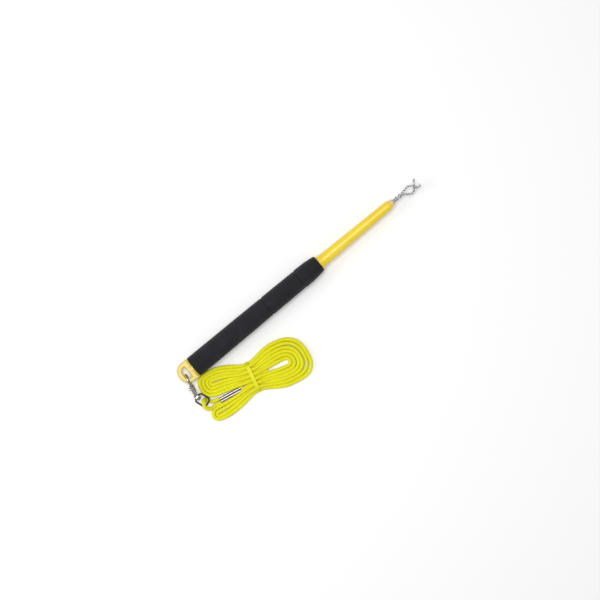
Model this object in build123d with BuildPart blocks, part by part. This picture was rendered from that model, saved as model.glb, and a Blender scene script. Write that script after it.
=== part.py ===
"""Floating tow handle: a tapered tube with a foam grip, a wire eye at its tip and a hanked cord.

Working frame, in millimetres: +X runs along the handle from the middle of the grip to the tip, +Z is up,
and Z = 0 is the surface that the handle and its hank lie on. The written parts are moved so that the
origin is under the middle of everything but the cord.
"""
import os
from math import cos, pi, radians, sin, tan

from build123d import *

# ---- driving dimensions ----
GRIP_R_BUTT = 16.7          # largest radius of the rear sleeve, which the handle rests on
AXIS_Z = GRIP_R_BUTT        # height of the handle's axis
FOAM_CLEARANCE = 0.05       # radial, between foam sleeve and tube

REAR_X, REAR_LENGTH = -119.0, 143.0
MIDDLE_LENGTH = 63.0
FRONT_LENGTH = 38.5
REAR_R_FRONT = 15.7
MIDDLE_R_REAR = 15.9
MIDDLE_R_FRONT = 15.4
FRONT_R = 15.9
FRONT_R_END = 12.6
# the front sleeve narrows towards the tube: (share of its length, share of the drop in radius)
FRONT_SHOULDER = ((0.45, 0.12), (0.75, 0.42), (0.93, 0.7))
REAR_MIDPOINT = 0.6         # share of the rear sleeve where it has lost half its taper
SLEEVE_CHAMFER = 0.8

TUBE_R_GRIP = 9.7           # under the foam
TUBE_R_BARE = 8.9           # just in front of the foam
TUBE_R_TIP = 7.3
TUBE_WALL = 2.0
TUBE_TIP_X = 264.0
TUBE_STEP = 3.0
TUBE_BEYOND_FOAM = 1.0      # full tube radius that shows before the step
NOSE_LENGTH = 6.0
NOSE_R = 5.4

CAP_FLANGE = 3.0
CAP_FLANGE_R = 15.2
SPIGOT_LENGTH = 34.0
SPIGOT_CLEARANCE = 0.1
EYE_HALF_WIDTH = 16.5       # D eye, measured across the handle
EYE_CORNER_R = 15.0         # outer corner of the D
EYE_RIM = 7.5               # width of the rim round the hole
EYE_LENGTH = 26.5           # from the flange's rear face to the outermost rim
EYE_BAR = 10.5              # solid bar between the flange and the hole
EYE_THICKNESS = 5.0
EYE_EDGE_R = 1.8
HOLE_FRONT_R = 1.0          # corners of the D hole beside the flange

PIN_R = 1.5
CAP_PIN_X = REAR_X + 15.0
CORE_START, CORE_END = -78.0, 110.0
CORE_CLEARANCE = 0.2        # radial, in the tube
CORE_CHAMFER = 1.0
PIN_CLEARANCE = 0.02        # radial
CAP_PIN_INSET = 0.3         # pin ends below the tube's surface

PLUG_STEM = 14.0
PLUG_HEAD = 6.0
WIRE_BORE_R = 3.6
ANCHOR_LENGTH = 9.0
ANCHOR_SHARE = 0.7          # of the room between the wire and the bore, for the anchor's wall
ANCHOR_GAP = 0.1            # between the anchor and the plug
TIP_PIN_R = 0.75
TIP_PIN_LENGTH = 11.0
TIP_PIN_RISE = WIRE_BORE_R + 0.8    # pin's axis above the handle's axis
DOME_LIP = 0.7              # plug wall left round the wire

WIRE_R = 1.5                # one strand of the leader
TWIST_R = 1.9               # from the leader's axis to a strand's corner points
TWIST_PITCH = 14.0
TWIST_LENGTH = 22.0
PRONG_R = 0.85
PRONG_APART = 0.6           # a prong's root from the middle of the strand
PRONG_SUNK = 1.2            # how far its root goes back into the strand
PRONG_TAPER = 3.0
TWIST_INSIDE = 1.0          # the twist starts this far inside the plug
STRAND_INSIDE = 0.5         # and the strand this far inside the anchor
CROSSING_LIFT = 1.75        # the strands pass one over the other at the far end of the eye

RING_R = 7.9                # snap ring, to the middle of its bar
RING_BAR_R = 1.8
SNAP_HEADING = -103.0       # degrees in plan, from the ring towards the swivel
SNAP_SLOPE = 14.0           # degrees down
RING_OFFSET = (-6.9, -7.65)     # from the centre of the D's corner to the centre of the ring
BOLT_OFFSET = 6.6           # bolt's axis above the shank's axis
BOLT_R = 1.5
BOLT_CLEARANCE = 0.06
BOLT_START = 4.7
BOLT_LENGTH = 9.6
BOLT_TRAVEL = 5.6
BARREL_R = 2.85
BARREL_START, BARREL_END = 10.5, 25.5
BORE_PLUG_LENGTH = 1.5
BOSS_R = 3.4
BOSS_START, BOSS_END = 10.5, 20.5
SPINDLE_R = 1.25
SPINDLE_CLEARANCE = 0.06
RIVET_R = 2.2
RIVET_POCKET = 2.4
EYE_AT = 30.5               # swivel eye's centre, along the shank
SWIVEL_EYE_OUTER_R = 5.1
SWIVEL_EYE_INNER_R = 1.9
SWIVEL_EYE_WIDTH = 6.4
SWIVEL_EYE_EDGE_R = 1.2
SPINDLE_DEPTH = 1.2         # how far the spindle goes into the swivel eye
COLLAR_R = 2.7
COLLAR_LENGTH = 1.2
COLLAR_GAP = 0.15           # between the boss and the swivel's collar
RIVET_SEAT = 1.1            # rivet head's distance below the boss's end
KNOB_STEM_R = 0.8
KNOB_R = 2.1
KNOB_AT = 13.0
KNOB_CLEARANCE = 0.25       # between the knob's stem and its slot
KNOB_SHANK = 1.0            # stem that stands out of the barrel
KNOB_LIFT = 0.4             # knob's foot above the barrel
KNOB_HEIGHT = 2.2
KNOB_EDGE_R = 0.7
BOLT_CHAMFER = 0.25
STEM_DEPTH = 2.0            # stem's hole in the bolt
NOSE_ANGLE = 66.0           # ring's free end, from the shank
ROOT_ANGLE = 290.0          # where the ring runs into the shank
STRUT_LENGTH = 11.0         # from the ring's root into the boss
NOSE_SEAT_START = 2.2       # seat on the ring's free end that the bolt closes on
NOSE_SEAT_WALL = 0.7        # radial, round the bolt
NOSE_SEAT_GAP = 0.1
WEB_WIDTH = 2.6             # between the barrel and the boss
RIVET_MARGIN = 0.3          # radial, round the rivet's head
RIVET_EDGE_R = 0.5
RIVET_GAP = 0.06
SPRING_TURNS = 6
SPRING_WIRE_R = 0.28
SPRING_GAP = 0.1            # between the spring and what it bears on
SPRING_CLEARANCE = 0.08     # radial, in the bore

LINK_WIRE_R = 1.3
LINK_WIDTH = 14.6           # to the middle of the wire
LINK_LENGTH = 18.0
LINK_HEADING = -71.0
LINK_CORNER_R = 4.0
LINK_FAR_Z = 8.3

CORD_R = 3.0
FERRULE_R = 4.3
FERRULE_WALL = 0.9
FERRULE_CLEARANCE = 0.5     # between the ferrule and the turns beside it
FERRULE_LENGTH = 36.0
FERRULE_X, FERRULE_Y = -121.6, -63.8     # middle of its end towards the eye
FERRULE_HEADING = -11.0
STANDING_LENGTH = 14.0
FLOOR_GAP = 0.1             # under the ferrule

HANK_HEADING = -14.4
WAIST = (-61.0, -68.3)
WAIST_WIDTH = 48.0
WAIST_LENGTH = 22.0
WAIST_HEIGHT = 12.4
LOBE_HEIGHT = 6.6
TIE_WIDTH = 6.0
TIE_THICKNESS = 1.0
TIE_CLEARANCE = 0.1
TIE_CORNER_R = 2.0


# ---- helpers ----
def toward(start, heading, distance):
    """A point in plan at a distance along a heading in degrees."""
    return (start[0] + distance * cos(radians(heading)), start[1] + distance * sin(radians(heading)))


def bend_radii(points):
    """0.45 of the shorter run, divided by the tangent of half the turn, at each corner of a route."""
    radii = []
    for before, corner, after in zip(points, points[1:], points[2:]):
        run_in = Vector(*corner) - Vector(*before)
        run_out = Vector(*after) - Vector(*corner)
        turn = radians(run_in.get_angle(run_out))
        radii.append(0.45 * min(run_in.length, run_out.length) / tan(turn / 2))
    return radii


def face_plane(points):
    """The plane across a route at its first point."""
    return Plane(Vector(*points[0]), z_dir=Vector(*points[1]) - Vector(*points[0]))


def disc(x):
    """A plane across the handle's axis."""
    return Plane(origin=(x, 0, AXIS_Z), x_dir=(0, 1, 0), z_dir=(1, 0, 0))


def profile_plane():
    """Handle profiles are drawn with x along the axis and y as the radius."""
    return Plane(origin=(0, 0, AXIS_Z), x_dir=(1, 0, 0), z_dir=(0, -1, 0))


HANDLE_AXIS = Axis((0, 0, AXIS_Z), (1, 0, 0))
pieces = []


def finish(part, label):
    """Name a finished piece and keep it for writing."""
    part.label = label
    pieces.append(part)


# ---- tube ----
rear_end = REAR_X + REAR_LENGTH
middle_end = rear_end + MIDDLE_LENGTH
front_end = middle_end + FRONT_LENGTH
bore_r_grip = TUBE_R_GRIP - TUBE_WALL
bore_r_tip = TUBE_R_TIP - TUBE_WALL
nose_start = TUBE_TIP_X - NOSE_LENGTH
step_start = front_end + TUBE_BEYOND_FOAM

with BuildPart() as core_tube:
    with BuildSketch(profile_plane()):
        with BuildLine():
            outer = Polyline(
                (REAR_X, bore_r_grip),
                (REAR_X, TUBE_R_GRIP),
                (step_start, TUBE_R_GRIP),
                (step_start + TUBE_STEP, TUBE_R_BARE),
                (nose_start, TUBE_R_TIP),
            )
            nose = TangentArc(outer @ 1, (TUBE_TIP_X, NOSE_R), tangent=outer % 1)
            Polyline(nose @ 1, (TUBE_TIP_X, bore_r_tip), (front_end, bore_r_grip), (REAR_X, bore_r_grip))
        make_face()
    revolve(axis=HANDLE_AXIS)
    with BuildSketch(Plane.XZ.offset(-TUBE_R_GRIP - 1)):
        with Locations((CAP_PIN_X, AXIS_Z)):
            Circle(PIN_R)
    extrude(amount=2 * TUBE_R_GRIP + 2, mode=Mode.SUBTRACT)
    tip_pin_x = TUBE_TIP_X - PLUG_STEM / 2
    with BuildSketch(Plane.XZ.offset(-TUBE_R_TIP - 1)):
        with Locations((tip_pin_x, AXIS_Z + TIP_PIN_RISE)):
            Circle(TIP_PIN_R)
    extrude(amount=2 * TUBE_R_TIP + 2, mode=Mode.SUBTRACT)
finish(core_tube.part, "core_tube")

with BuildPart() as float_core:
    with BuildSketch(disc(CORE_START)):
        Circle(bore_r_grip - CORE_CLEARANCE)
    extrude(amount=CORE_END - CORE_START)
    chamfer(float_core.edges().filter_by(GeomType.CIRCLE), CORE_CHAMFER)
finish(float_core.part, "float_core")


# ---- foam grip ----
def sleeve(start, profile):
    """A foam sleeve turned about the handle's axis from (distance, radius) points."""
    bore = TUBE_R_GRIP + FOAM_CLEARANCE
    length = profile[-1][0]
    with BuildPart() as body:
        with BuildSketch(profile_plane()):
            with BuildLine():
                Polyline(
                    (start, bore),
                    *[(start + distance, radius) for distance, radius in profile],
                    (start + length, bore),
                    close=True,
                )
            make_face()
        revolve(axis=HANDLE_AXIS)
    return body.part


finish(
    sleeve(
        REAR_X,
        [
            (0, GRIP_R_BUTT - SLEEVE_CHAMFER),
            (SLEEVE_CHAMFER, GRIP_R_BUTT),
            (REAR_LENGTH * REAR_MIDPOINT, (GRIP_R_BUTT + REAR_R_FRONT) / 2),
            (REAR_LENGTH - SLEEVE_CHAMFER, REAR_R_FRONT),
            (REAR_LENGTH, REAR_R_FRONT - SLEEVE_CHAMFER),
        ],
    ),
    "grip_rear",
)
finish(
    sleeve(
        rear_end,
        [
            (0, MIDDLE_R_REAR - SLEEVE_CHAMFER),
            (SLEEVE_CHAMFER, MIDDLE_R_REAR),
            (MIDDLE_LENGTH - SLEEVE_CHAMFER, MIDDLE_R_FRONT),
            (MIDDLE_LENGTH, MIDDLE_R_FRONT - SLEEVE_CHAMFER),
        ],
    ),
    "grip_middle",
)
shoulder = FRONT_R - FRONT_R_END
finish(
    sleeve(
        middle_end,
        [
            (0, FRONT_R - SLEEVE_CHAMFER),
            (SLEEVE_CHAMFER, FRONT_R),
            *[(FRONT_LENGTH * share, FRONT_R - shoulder * drop) for share, drop in FRONT_SHOULDER],
            (FRONT_LENGTH, FRONT_R_END),
        ],
    ),
    "grip_front",
)

# ---- butt cap with its D eye ----
flange_rear = REAR_X - CAP_FLANGE
eye_end = REAR_X - EYE_LENGTH
hole_end = eye_end + EYE_RIM
hole_start = REAR_X - EYE_BAR
hole_corner_r = EYE_CORNER_R - EYE_RIM
hole_half_width = EYE_HALF_WIDTH - EYE_RIM
corner_centre = (eye_end + EYE_CORNER_R, -(EYE_HALF_WIDTH - EYE_CORNER_R))
eye_plane = Plane.XY.offset(AXIS_Z - EYE_THICKNESS / 2)

with BuildPart() as butt_cap:
    with BuildSketch(eye_plane) as eye_outline:
        with Locations(((eye_end + REAR_X) / 2, 0)):
            Rectangle(EYE_LENGTH, 2 * EYE_HALF_WIDTH)
        fillet(eye_outline.vertices().group_by(Axis.X)[0], EYE_CORNER_R)
        with BuildSketch(mode=Mode.SUBTRACT) as hole_outline:
            with Locations(((hole_end + hole_start) / 2, 0)):
                Rectangle(hole_start - hole_end, 2 * hole_half_width)
            fillet(hole_outline.vertices().group_by(Axis.X)[0], hole_corner_r)
            fillet(hole_outline.vertices().group_by(Axis.X)[-1], HOLE_FRONT_R)
    extrude(amount=EYE_THICKNESS)
    rim_edges = butt_cap.edges().filter_by(Plane.XY)
    inner_edges = rim_edges.filter_by(lambda edge: edge.center().X < REAR_X - 1)
    fillet(inner_edges, EYE_EDGE_R)
    with BuildSketch(disc(flange_rear)):
        Circle(CAP_FLANGE_R)
    extrude(amount=CAP_FLANGE)
    with BuildSketch(disc(REAR_X)):
        Circle(bore_r_grip - SPIGOT_CLEARANCE)
    extrude(amount=SPIGOT_LENGTH)
    with BuildSketch(Plane.XZ.offset(-TUBE_R_GRIP)):
        with Locations((CAP_PIN_X, AXIS_Z)):
            Circle(PIN_R)
    extrude(amount=2 * TUBE_R_GRIP, mode=Mode.SUBTRACT)
finish(butt_cap.part, "butt_cap")

with BuildPart() as cap_pin:
    with BuildSketch(Plane.XZ.offset(CAP_PIN_INSET - TUBE_R_GRIP)):
        with Locations((CAP_PIN_X, AXIS_Z)):
            Circle(PIN_R - PIN_CLEARANCE)
    extrude(amount=2 * (TUBE_R_GRIP - CAP_PIN_INSET))
finish(cap_pin.part, "cap_pin")

# ---- tip plug, wire anchor and their pin ----
plug_start = TUBE_TIP_X - PLUG_STEM
plug_end = TUBE_TIP_X + PLUG_HEAD
with BuildPart() as tip_plug:
    with BuildSketch(disc(plug_start)):
        Circle(bore_r_tip - SPIGOT_CLEARANCE)
    extrude(amount=PLUG_STEM)
    with BuildSketch(profile_plane()):
        with BuildLine():
            dome_base = Line((TUBE_TIP_X, 0), (TUBE_TIP_X, NOSE_R))
            dome = TangentArc(dome_base @ 1, (plug_end, WIRE_BORE_R + DOME_LIP), tangent=(1, -0.15))
            Polyline(dome @ 1, (plug_end, 0), (TUBE_TIP_X, 0))
        make_face()
    revolve(axis=HANDLE_AXIS)
    with BuildSketch(disc(plug_start)):
        Circle(WIRE_BORE_R)
    extrude(amount=PLUG_STEM + PLUG_HEAD, mode=Mode.SUBTRACT)
    with BuildSketch(Plane.XZ.offset(-TUBE_R_TIP)):
        with Locations((tip_pin_x, AXIS_Z + TIP_PIN_RISE)):
            Circle(TIP_PIN_R)
    extrude(amount=2 * TUBE_R_TIP, mode=Mode.SUBTRACT)
finish(tip_plug.part, "tip_plug")

with BuildPart() as tip_pin:
    with BuildSketch(Plane.XZ.offset(-TIP_PIN_LENGTH / 2)):
        with Locations((tip_pin_x, AXIS_Z + TIP_PIN_RISE)):
            Circle(TIP_PIN_R - PIN_CLEARANCE)
    extrude(amount=TIP_PIN_LENGTH)
finish(tip_pin.part, "tip_pin")

anchor_r = WIRE_BORE_R + ANCHOR_SHARE * (bore_r_tip - WIRE_BORE_R)
with BuildPart() as wire_anchor:
    with BuildSketch(disc(plug_start - ANCHOR_LENGTH)):
        Circle(anchor_r)
        Circle(WIRE_BORE_R, mode=Mode.SUBTRACT)
    extrude(amount=ANCHOR_LENGTH - ANCHOR_GAP)
finish(wire_anchor.part, "wire_anchor")


# ---- wire leader ----
twist_start = TUBE_TIP_X + PLUG_HEAD - TWIST_INSIDE
twist_end = twist_start + TWIST_LENGTH


def twisted_points(phase):
    """One strand: straight in the anchor, then six corner points to a turn of the twist."""
    step = TWIST_PITCH / 6
    count = int(TWIST_LENGTH / step)
    points = [(plug_start - ANCHOR_LENGTH + STRAND_INSIDE, TWIST_R * cos(phase), TWIST_R * sin(phase))]
    for index in range(count + 1):
        angle = phase + radians(60 * index)
        points.append((twist_start + step * index, TWIST_R * cos(angle), TWIST_R * sin(angle)))
    return points


def leader_strand(points, prong_headings, tail_heading):
    """A round wire along a route about the handle's axis, with two prongs at its cut end."""
    route = [(x, y, z + AXIS_Z) for x, y, z in points]
    with BuildPart() as strand:
        with BuildLine() as path:
            FilletPolyline(*route, radius=bend_radii(route))
        with BuildSketch(face_plane(route)):
            Circle(WIRE_R)
        sweep(path=path.line)
        for heading, rise, length in prong_headings:
            direction = Vector(cos(radians(heading)), sin(radians(heading)), rise)
            side = Vector(-sin(radians(tail_heading)), cos(radians(tail_heading)), 0)
            offset = PRONG_APART if heading > tail_heading else -PRONG_APART
            root = Vector(*route[-1]) + side * offset - direction * PRONG_SUNK
            with BuildSketch(Plane(root, z_dir=direction)):
                Circle(PRONG_R)
            extrude(amount=length, taper=PRONG_TAPER)
    return strand.part


eye_x = twist_end
strand_a_points = twisted_points(radians(180)) + [
    (eye_x + 3.6, 2.4, 0.9),
    (eye_x + 9.4, 4.0, 1.2),
    (eye_x + 15.2, 1.4, CROSSING_LIFT),
    (eye_x + 18.0, -4.6, CROSSING_LIFT),
    (eye_x + 21.0, -8.2, 0.9),
]
strand_b_points = twisted_points(radians(0)) + [
    (eye_x + 2.8, -5.2, -0.9),
    (eye_x + 7.6, -8.5, -0.9),
    (eye_x + 13.6, -8.0, -1.2),
    (eye_x + 17.2, -3.0, -CROSSING_LIFT),
    (eye_x + 20.6, 1.6, -CROSSING_LIFT),
]
finish(leader_strand(strand_a_points, [(12, 0.15, 6.0), (58, 0.35, 5.6)], -20), "leader_strand_a")
finish(leader_strand(strand_b_points, [(36, -0.05, 8.0), (64, 0.1, 6.0)], 52), "leader_strand_b")

# ---- snap hook ----
ring_centre = (corner_centre[0] + RING_OFFSET[0], corner_centre[1] + RING_OFFSET[1], AXIS_Z)
shank = Vector(
    cos(radians(SNAP_HEADING)) * cos(radians(SNAP_SLOPE)),
    sin(radians(SNAP_HEADING)) * cos(radians(SNAP_SLOPE)),
    -sin(radians(SNAP_SLOPE)),
)
snap_side = Vector(sin(radians(SNAP_HEADING)), -cos(radians(SNAP_HEADING)), 0)
snap = Plane(ring_centre, x_dir=shank, z_dir=snap_side)


def across(along, above):
    """A plane across the shank, at a distance along it and a distance above its axis."""
    return Plane(snap.from_local_coords((along, above, 0)), x_dir=snap.z_dir, z_dir=snap.x_dir)


def ring_point(angle):
    """A point of the ring's centre line, by its angle from the shank, in the snap's own plane."""
    return (RING_R * cos(radians(angle)), RING_R * sin(radians(angle)))


with BuildPart() as snap_body:
    with BuildLine(snap) as ring_path:
        ring_middle = ring_point((NOSE_ANGLE + ROOT_ANGLE) / 2)
        bow_of_ring = ThreePointArc(ring_point(NOSE_ANGLE), ring_middle, ring_point(ROOT_ANGLE))
        Line(bow_of_ring @ 1, bow_of_ring @ 1 + (bow_of_ring % 1) * STRUT_LENGTH)
    ring_start = snap.from_local_coords((*ring_point(NOSE_ANGLE), 0))
    with BuildSketch(Plane(ring_start, z_dir=bow_of_ring % 0)):
        Circle(RING_BAR_R)
    sweep(path=ring_path.line)
    with BuildSketch(across(NOSE_SEAT_START, BOLT_OFFSET)):
        Circle(BOLT_R + NOSE_SEAT_WALL)
    extrude(amount=BOLT_START - NOSE_SEAT_START - NOSE_SEAT_GAP)
    with BuildSketch(across(BARREL_START, BOLT_OFFSET)):
        Circle(BARREL_R)
    extrude(amount=BARREL_END - BARREL_START)
    with BuildSketch(across(BOSS_START, 0)):
        Circle(BOSS_R)
    extrude(amount=BOSS_END - BOSS_START)
    with BuildSketch(across(BOSS_START, BOLT_OFFSET / 2)):
        Rectangle(WEB_WIDTH, BOLT_OFFSET)
    extrude(amount=BOSS_END - BOSS_START)
    with BuildSketch(across(BOSS_START - RING_BAR_R, 0)):
        Circle(RIVET_R + RIVET_MARGIN)
    extrude(amount=RING_BAR_R + RIVET_POCKET, mode=Mode.SUBTRACT)
    with BuildSketch(across(BOSS_START, 0)):
        Circle(SPINDLE_R + SPINDLE_CLEARANCE)
    extrude(amount=BOSS_END - BOSS_START + 1, mode=Mode.SUBTRACT)
    with BuildSketch(across(BARREL_START - 1, BOLT_OFFSET)):
        Circle(BOLT_R + BOLT_CLEARANCE)
    extrude(amount=BARREL_END - BARREL_START + 2, mode=Mode.SUBTRACT)
    with BuildSketch(snap.offset(BARREL_R + 1)):
        slot_half = KNOB_STEM_R + KNOB_CLEARANCE
        with Locations((KNOB_AT + BOLT_TRAVEL / 2, BOLT_OFFSET)):
            Rectangle(BOLT_TRAVEL + 2 * slot_half, 2 * slot_half)
    extrude(amount=-BARREL_R - 1, mode=Mode.SUBTRACT)
finish(snap_body.part, "snap_body")

with BuildPart() as gate_bolt:
    with BuildSketch(across(BOLT_START, BOLT_OFFSET)):
        Circle(BOLT_R)
    extrude(amount=BOLT_LENGTH)
    chamfer(gate_bolt.edges().filter_by(GeomType.CIRCLE), BOLT_CHAMFER)
    with BuildSketch(snap):
        with Locations((KNOB_AT, BOLT_OFFSET)):
            Circle(KNOB_STEM_R)
    extrude(amount=STEM_DEPTH, mode=Mode.SUBTRACT)
finish(gate_bolt.part, "gate_bolt")

with BuildPart() as thumb_knob:
    with BuildSketch(snap):
        with Locations((KNOB_AT, BOLT_OFFSET)):
            Circle(KNOB_STEM_R - PIN_CLEARANCE)
    extrude(amount=BARREL_R + KNOB_SHANK)
    with BuildSketch(snap.offset(BARREL_R + KNOB_LIFT)):
        with Locations((KNOB_AT, BOLT_OFFSET)):
            Circle(KNOB_R)
    extrude(amount=KNOB_HEIGHT)
    knob_face = thumb_knob.faces().sort_by(Axis(ring_centre, snap.z_dir))[-1]
    fillet(knob_face.edges(), KNOB_EDGE_R)
finish(thumb_knob.part, "thumb_knob")

spring_start = BOLT_START + BOLT_LENGTH + SPRING_GAP + SPRING_WIRE_R
spring_end = BARREL_END - BORE_PLUG_LENGTH - SPRING_GAP - SPRING_WIRE_R
with BuildPart() as gate_spring:
    for turn in range(SPRING_TURNS):
        along = spring_start + (spring_end - spring_start) * turn / (SPRING_TURNS - 1)
        with Locations(across(along, BOLT_OFFSET).location):
            Torus(BOLT_R - SPRING_WIRE_R - SPRING_CLEARANCE, SPRING_WIRE_R)
finish(gate_spring.part, "gate_spring")

with BuildPart() as bore_plug:
    with BuildSketch(across(BARREL_END - BORE_PLUG_LENGTH, BOLT_OFFSET)):
        Circle(BOLT_R + BOLT_CLEARANCE)
    extrude(amount=BORE_PLUG_LENGTH)
finish(bore_plug.part, "bore_plug")

# ---- swivel and link ----
eye_centre = snap.from_local_coords((EYE_AT, 0, 0))
link_far = Vector(*toward((eye_centre.X, eye_centre.Y), LINK_HEADING, LINK_LENGTH), LINK_FAR_Z)
link_axis = (link_far - eye_centre).normalized()
link_bar = Vector(-sin(radians(LINK_HEADING)), cos(radians(LINK_HEADING)), 0)
link_plane = Plane(eye_centre, x_dir=link_axis, z_dir=link_axis.cross(link_bar))

with BuildPart() as swivel_eye:
    with BuildSketch(across(BOSS_START + RIVET_POCKET, 0)):
        Circle(SPINDLE_R)
    spindle_end = EYE_AT - SWIVEL_EYE_OUTER_R + SPINDLE_DEPTH
    extrude(amount=spindle_end - BOSS_START - RIVET_POCKET)
    with BuildSketch(across(BOSS_END + COLLAR_GAP, 0)):
        Circle(COLLAR_R)
    extrude(amount=COLLAR_LENGTH)
    with BuildPart(mode=Mode.PRIVATE) as swivel_ring:
        with BuildSketch(Plane(eye_centre, z_dir=link_bar).offset(-SWIVEL_EYE_WIDTH / 2)):
            Circle(SWIVEL_EYE_OUTER_R)
            Circle(SWIVEL_EYE_INNER_R, mode=Mode.SUBTRACT)
        extrude(amount=SWIVEL_EYE_WIDTH)
        fillet(swivel_ring.edges().filter_by(GeomType.CIRCLE), SWIVEL_EYE_EDGE_R)
    add(swivel_ring.part)
finish(swivel_eye.part, "swivel_eye")

with BuildPart() as swivel_rivet:
    with BuildSketch(across(BOSS_START + RIVET_SEAT, 0)):
        Circle(RIVET_R)
    extrude(amount=RIVET_POCKET - RIVET_SEAT - RIVET_GAP)
    fillet(swivel_rivet.faces().sort_by(Axis(ring_centre, snap.x_dir))[0].edges(), RIVET_EDGE_R)
finish(swivel_rivet.part, "swivel_rivet")

with BuildPart() as strap_link:
    with BuildLine(link_plane) as link_path:
        FilletPolyline(
            (0, -LINK_WIDTH / 2),
            (0, LINK_WIDTH / 2),
            (LINK_LENGTH, LINK_WIDTH / 2),
            (LINK_LENGTH, -LINK_WIDTH / 2),
            radius=LINK_CORNER_R,
            close=True,
        )
    with BuildSketch(Plane(link_path.line @ 0, z_dir=link_path.line % 0)):
        Circle(LINK_WIRE_R)
    sweep(path=link_path.line)
finish(strap_link.part, "strap_link")

# ---- cord: eye, ferrule, standing part and hank ----
ferrule_z = FERRULE_R + FLOOR_GAP
ferrule_dir = Vector(cos(radians(FERRULE_HEADING)), sin(radians(FERRULE_HEADING)), 0)
ferrule_end = Vector(FERRULE_X, FERRULE_Y, ferrule_z)

EYE_ROUTE = [
    (-122.35, -66.76, 4.4),
    (-130.1, -65.25, 4.8),
    (-139.5, -65.6, 8.6),
    (-145.6, -59.0, 13.4),
    (-141.6, -48.6, 15.6),
    (-137.6, -47.8, 3.3),
    (-133.6, -57.2, 3.2),
    (-127.5, -59.56, 4.2),
    (-121.2, -60.78, 4.4),
]

with BuildPart() as cord_eye:
    with BuildLine() as eye_path:
        FilletPolyline(*EYE_ROUTE, radius=bend_radii(EYE_ROUTE))
    with BuildSketch(face_plane(EYE_ROUTE)):
        Circle(CORD_R)
    sweep(path=eye_path.line)
finish(cord_eye.part, "cord_eye")
print("cord eye radii", [round(radius, 1) for radius in bend_radii(EYE_ROUTE)])
eye_volume = pi * CORD_R**2 * sum(edge.length for edge in eye_path.edges())
print("cord eye volume", round(cord_eye.part.volume), "section x length", round(eye_volume))

with BuildPart() as cord_ferrule:
    with BuildSketch(Plane(ferrule_end, z_dir=ferrule_dir)):
        Circle(FERRULE_R)
        Circle(FERRULE_R - FERRULE_WALL, mode=Mode.SUBTRACT)
    extrude(amount=FERRULE_LENGTH)
    outer_edges = cord_ferrule.edges().filter_by(GeomType.CIRCLE).group_by(SortBy.RADIUS)[-1]
    fillet(outer_edges, FERRULE_WALL / 2)
finish(cord_ferrule.part, "cord_ferrule")

with BuildPart() as cord_crimped:
    with BuildSketch(Plane(ferrule_end, z_dir=ferrule_dir)):
        Circle(FERRULE_R - FERRULE_WALL)
    extrude(amount=FERRULE_LENGTH)
finish(cord_crimped.part, "cord_crimped")

standing_start = ferrule_end + ferrule_dir * FERRULE_LENGTH
with BuildPart() as cord_standing:
    with BuildSketch(Plane(standing_start, z_dir=ferrule_dir)):
        Circle(CORD_R)
    extrude(amount=STANDING_LENGTH)
finish(cord_standing.part, "cord_standing")

waist_along = Plane((*WAIST, 0), x_dir=Vector(*toward((0, 0), HANK_HEADING, 1), 0), z_dir=(0, 0, 1))
FAR_LOBE = (((64, 15), 21), ((70, -11), 22), ((16, -2), 26.4), ((0, 0), 23.5))
NEAR_LOBE = (((-58, 18), 18.8), ((-61.5, 17), 17.5), ((-24, 15.5), 16), ((-4, 8), 15.5))
OUTER_LOBE = (((-66.5, -29), 10.4), ((-40, -25.5), 9.5), ((-4, -15), 8.8))
SLOTS = (
    ((43.2, -1.0), 25.5, 8.0, -5.0),
    ((-41.0, 18.8), 34.0, 2.4, -6.0),
    ((-50.0, -26.6), 35.0, 2.0, 7.0),
)
with BuildPart() as cord_hank:
    with BuildSketch(waist_along):
        for lobe in (FAR_LOBE, NEAR_LOBE, OUTER_LOBE):
            with BuildSketch():
                for centre, radius in lobe:
                    with Locations(centre):
                        Circle(radius)
                make_hull()
        for centre, length, width, angle in SLOTS:
            with Locations(centre):
                SlotOverall(length, width, rotation=angle, mode=Mode.SUBTRACT)
    extrude(amount=LOBE_HEIGHT)
    with BuildSketch(waist_along):
        Rectangle(WAIST_LENGTH, WAIST_WIDTH)
    extrude(amount=WAIST_HEIGHT)
    with BuildSketch(waist_along):
        groove = TIE_WIDTH + 2 * TIE_CLEARANCE
        Rectangle(groove, WAIST_WIDTH + 4)
        depth = TIE_THICKNESS + TIE_CLEARANCE
        Rectangle(groove, WAIST_WIDTH - 2 * depth, mode=Mode.SUBTRACT)
    extrude(amount=WAIST_HEIGHT, mode=Mode.SUBTRACT)
    with BuildSketch(waist_along):
        Rectangle(groove, WAIST_WIDTH)
    extrude(amount=depth, mode=Mode.SUBTRACT)
    with BuildSketch(waist_along.offset(WAIST_HEIGHT - depth)):
        Rectangle(groove, WAIST_WIDTH)
    extrude(amount=depth, mode=Mode.SUBTRACT)
    standing_face = standing_start + ferrule_dir * STANDING_LENGTH
    with BuildSketch(Plane(standing_face, x_dir=(0, 0, 1), z_dir=-ferrule_dir)):
        Rectangle(4 * WAIST_HEIGHT, 2 * (FERRULE_R + FERRULE_CLEARANCE))
    extrude(amount=FERRULE_LENGTH + STANDING_LENGTH + 30, mode=Mode.SUBTRACT)
finish(cord_hank.part, "cord_hank")

with BuildPart() as hank_tie:
    tie_plane = Plane((*WAIST, WAIST_HEIGHT / 2), x_dir=waist_along.y_dir, z_dir=waist_along.x_dir)
    with BuildSketch(tie_plane.offset(-TIE_WIDTH / 2)):
        tie_inset = 2 * TIE_CLEARANCE
        RectangleRounded(WAIST_WIDTH - tie_inset, WAIST_HEIGHT - tie_inset, TIE_CORNER_R)
        tie_gap = 2 * TIE_THICKNESS + tie_inset
        Rectangle(WAIST_WIDTH - tie_gap, WAIST_HEIGHT - tie_gap, mode=Mode.SUBTRACT)
    extrude(amount=TIE_WIDTH)
finish(hank_tie.part, "hank_tie")

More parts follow.
